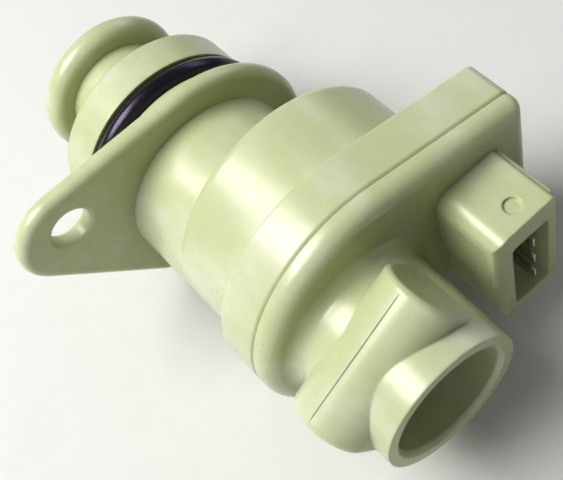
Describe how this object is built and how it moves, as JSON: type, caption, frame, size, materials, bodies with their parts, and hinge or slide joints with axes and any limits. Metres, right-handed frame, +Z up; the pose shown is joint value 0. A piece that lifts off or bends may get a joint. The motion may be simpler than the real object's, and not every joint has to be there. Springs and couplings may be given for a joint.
{
  "type": "vehicle speed sensor",
  "caption": "Pass-through vehicle speed sensor: eared flange with sealed spigot, turning magnet rotor inside, blade connector and round socket for a speedometer cable.",
  "frame": {"origin": "on the drive axis, at the gearbox side of the flange", "axes": "+X along the drive axis out of the gearbox, +Y towards the connector, +Z up"},
  "size_m": [0.0882, 0.0699, 0.0424],
  "materials": {
    "natural_nylon": "translucent natural moulding, satin gloss",
    "o_ring_rubber": "oiled black rubber",
    "seal_rubber": "dark rubber lip seal",
    "bush_bronze": "sintered bearing bronze",
    "washer_plastic": "pale bearing plastic",
    "board_laminate": "coated glass laminate",
    "chip_resin": "moulded resin",
    "capacitor_case": "ceramic block",
    "resistor_body": "lacquered barrel",
    "diode_body": "moulded barrel",
    "terminal_tin": "tinned brass strip",
    "shaft_steel": "ground steel",
    "hub_plastic": "filled moulding",
    "magnet_ferrite": "sintered ferrite",
    "clip_steel": "blackened spring steel"
  },
  "bodies": {
    "sensor_body": {"housing": "natural_nylon", "cover": "natural_nylon", "o_ring": "o_ring_rubber", "shaft_seal": "seal_rubber", "gearbox_bush": "bush_bronze", "cable_bush": "bush_bronze", "hub_thrust_washer": "washer_plastic", "clip_thrust_washer": "washer_plastic", "circuit_board": "board_laminate", "hall_chip": "chip_resin", "filter_capacitor": "capacitor_case", "series_resistor": "resistor_body", "protection_diode": "diode_body", "terminal_ground": "terminal_tin", "terminal_signal": "terminal_tin", "terminal_supply": "terminal_tin"},
    "rotor": {"rotor_shaft": "shaft_steel", "rotor_hub": "hub_plastic", "magnet_ring": "magnet_ferrite", "retaining_clip": "clip_steel"}
  },
  "joints": [
    {"name": "rotor_spin", "type": "hinge", "parent": "sensor_body", "child": "rotor", "pos_m": [0, 0, 0], "axis": [1, 0, 0], "continuous": true}
  ]
}
